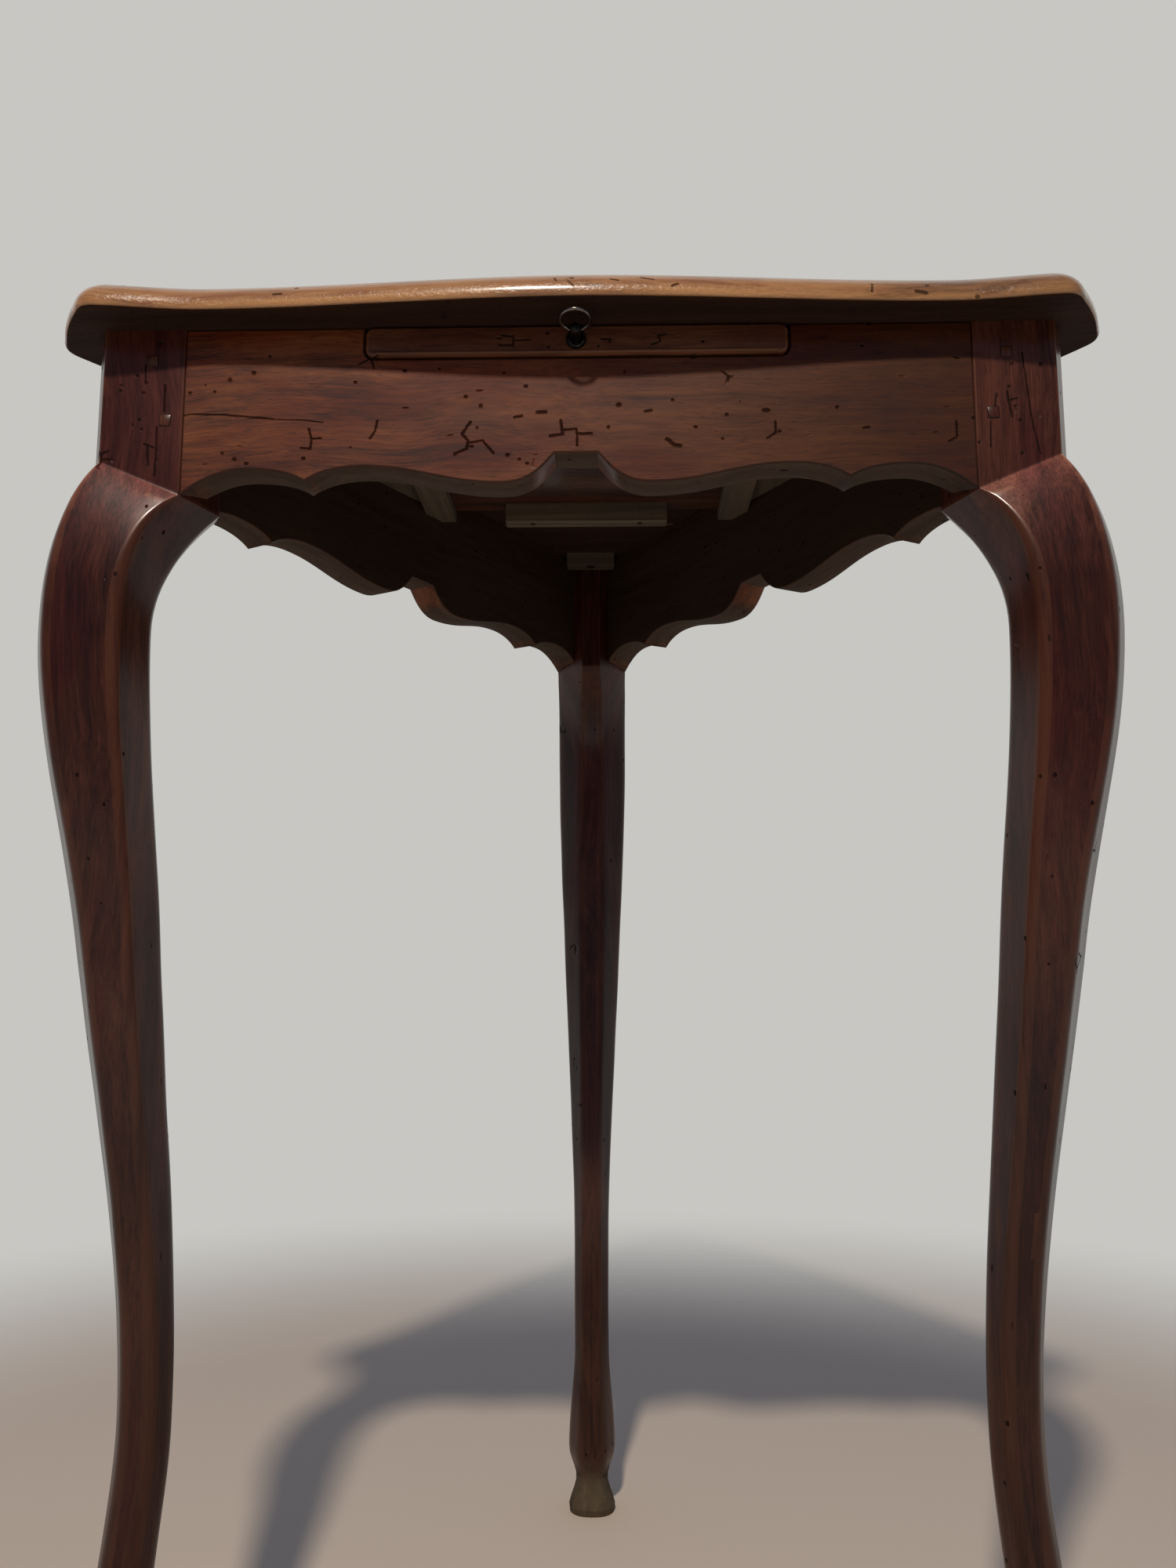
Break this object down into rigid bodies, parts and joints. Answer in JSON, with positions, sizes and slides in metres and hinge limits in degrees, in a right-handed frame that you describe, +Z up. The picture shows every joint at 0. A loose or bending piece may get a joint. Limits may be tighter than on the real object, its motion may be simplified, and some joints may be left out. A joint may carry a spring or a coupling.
{
  "type": "writing table",
  "caption": "Small triangular writing table with a serpentine top, scalloped aprons, cabriole legs on doe's feet and a pull-out writing slide with a ring pull.",
  "frame": {"origin": "on the floor, in the middle of the table's overall width and depth", "axes": "+Z up, -Y towards the front with the writing slide, +X to the right as seen from the front"},
  "size_m": [0.5236, 0.4648, 0.72],
  "materials": {
    "top_wood": "polished walnut, golden brown",
    "apron_wood": "polished walnut, reddish brown",
    "leg_wood": "polished walnut, dark reddish brown",
    "raw_wood": "raw, unpolished",
    "iron": "forged and blackened"
  },
  "bodies": {
    "frame": {"top_board_front": "top_wood", "top_board_middle": "top_wood", "top_board_back": "top_wood", "apron_front": "apron_wood", "apron_left": "apron_wood", "apron_right": "apron_wood", "leg_front_left": "leg_wood", "leg_front_right": "leg_wood", "leg_back": "leg_wood", "pegs_front_left": "leg_wood", "pegs_front_right": "leg_wood", "pegs_back": "leg_wood", "runner_left": "raw_wood", "runner_right": "raw_wood", "runner_screws": "iron", "corner_blocks": "raw_wood", "block_screws": "iron"},
    "slide": {"slide_board": "apron_wood", "slide_lip": "apron_wood", "slide_stop": "raw_wood", "stop_nails": "iron", "pull_rosette": "iron", "pull_stud": "iron"},
    "ring": {"pull_ring": "iron"}
  },
  "joints": [
    {"name": "writing_slide", "type": "slide", "parent": "frame", "child": "slide", "axis": [0, -1, 0], "range_m": [0, 0.1825]},
    {"name": "ring_swing", "type": "hinge", "parent": "slide", "child": "ring", "pos_m": [0, -0.21491, 0.6942], "axis": [1, 0, 0], "range_deg": [-14, 134]}
  ]
}
